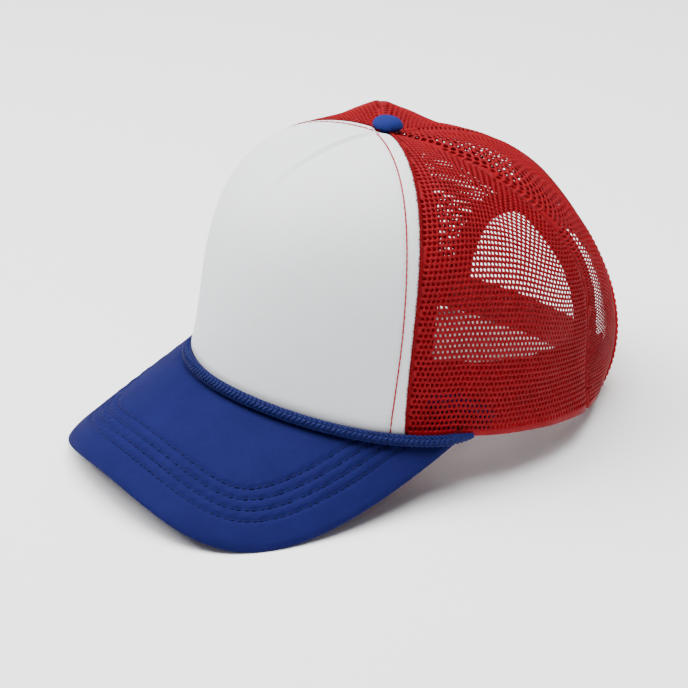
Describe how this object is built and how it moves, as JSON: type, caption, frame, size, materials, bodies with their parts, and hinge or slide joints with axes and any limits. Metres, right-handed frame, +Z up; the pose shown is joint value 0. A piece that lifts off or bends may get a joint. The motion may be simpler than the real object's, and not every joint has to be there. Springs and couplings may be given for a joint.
{
  "type": "trucker cap",
  "caption": "Trucker cap with a foam front, net sides and back, a bent foam-padded bill with a rope along its join, and a snap strap across a half-moon opening.",
  "frame": {"origin": "on the surface that the cap rests on, under the middle of the whole cap", "axes": "+X to the wearer's left, -Y the way the bill points, +Z up from the surface"},
  "size_m": [0.1824, 0.2508, 0.1376],
  "materials": {
    "front_foam": "knit-faced foam, matt white",
    "net": "open polyester net, red, slight sheen",
    "bill_cloth": "knit-faced foam, matt royal blue",
    "rope": "braided cord, royal blue, soft sheen",
    "band_cloth": "woven cotton twill, red",
    "strap": "moulded plastic, red, satin"
  },
  "bodies": {
    "root": {"front_panel": "front_foam", "side_mesh_left": "net", "side_mesh_right": "net", "back_mesh_left": "net", "back_mesh_right": "net", "bill": "bill_cloth", "bill_edge": "bill_cloth", "bill_rope": "rope", "button": "bill_cloth", "sweatband": "band_cloth", "arch_binding": "band_cloth", "strap_holes": "strap", "strap_pegs": "strap", "tape_front_left": "band_cloth", "tape_front_right": "band_cloth", "tape_back_left": "band_cloth", "tape_back_right": "band_cloth", "tape_center": "band_cloth"}
  },
  "joints": []
}
